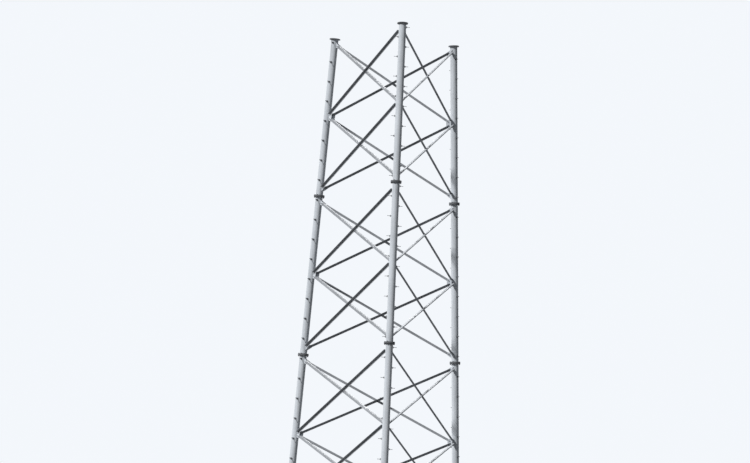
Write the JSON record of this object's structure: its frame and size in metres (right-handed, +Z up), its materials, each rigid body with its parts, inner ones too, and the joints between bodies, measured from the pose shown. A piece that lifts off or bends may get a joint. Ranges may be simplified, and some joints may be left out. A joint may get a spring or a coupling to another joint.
{
  "type": "three-legged lattice tower",
  "caption": "Free-standing three-legged steel lattice tower with inclined tubular legs bolted at flanges and crossed angle bracing, bare at the top.",
  "frame": {"origin": "on the tower's axis at ground level, in the plane of the undersides of the base plates", "axes": "+Z up along the tower's axis; the front leg stands towards -Y, the rear face between the right and left legs lies towards +Y, +X to the right"},
  "size_m": [9.0628, 7.8487, 36.5881],
  "materials": {
    "galvanised_leg": "hot-dip galvanised, pale and satin",
    "galvanised_bracing": "hot-dip galvanised, weathered to a dull grey",
    "galvanised_fasteners": "hot-dip galvanised bolts and nuts, dull"
  },
  "bodies": {
    "root": {"leg_front_1": "galvanised_leg", "leg_right_1": "galvanised_leg", "leg_left_1": "galvanised_leg", "bracing_rear_1": "galvanised_bracing", "bracing_left_1": "galvanised_bracing", "bracing_right_1": "galvanised_bracing", "leg_front_2": "galvanised_leg", "leg_right_2": "galvanised_leg", "leg_left_2": "galvanised_leg", "bracing_rear_2": "galvanised_bracing", "bracing_left_2": "galvanised_bracing", "bracing_right_2": "galvanised_bracing", "leg_front_3": "galvanised_leg", "leg_right_3": "galvanised_leg", "leg_left_3": "galvanised_leg", "bracing_rear_3": "galvanised_bracing", "bracing_left_3": "galvanised_bracing", "bracing_right_3": "galvanised_bracing", "leg_front_4": "galvanised_leg", "leg_right_4": "galvanised_leg", "leg_left_4": "galvanised_leg", "bracing_rear_4": "galvanised_bracing", "bracing_left_4": "galvanised_bracing", "bracing_right_4": "galvanised_bracing", "leg_front_5": "galvanised_leg", "leg_right_5": "galvanised_leg", "leg_left_5": "galvanised_leg", "bracing_rear_5": "galvanised_bracing", "bracing_left_5": "galvanised_bracing", "bracing_right_5": "galvanised_bracing", "leg_front_6": "galvanised_leg", "leg_right_6": "galvanised_leg", "leg_left_6": "galvanised_leg", "bracing_rear_6": "galvanised_bracing", "bracing_left_6": "galvanised_bracing", "bracing_right_6": "galvanised_bracing"}
  },
  "joints": []
}
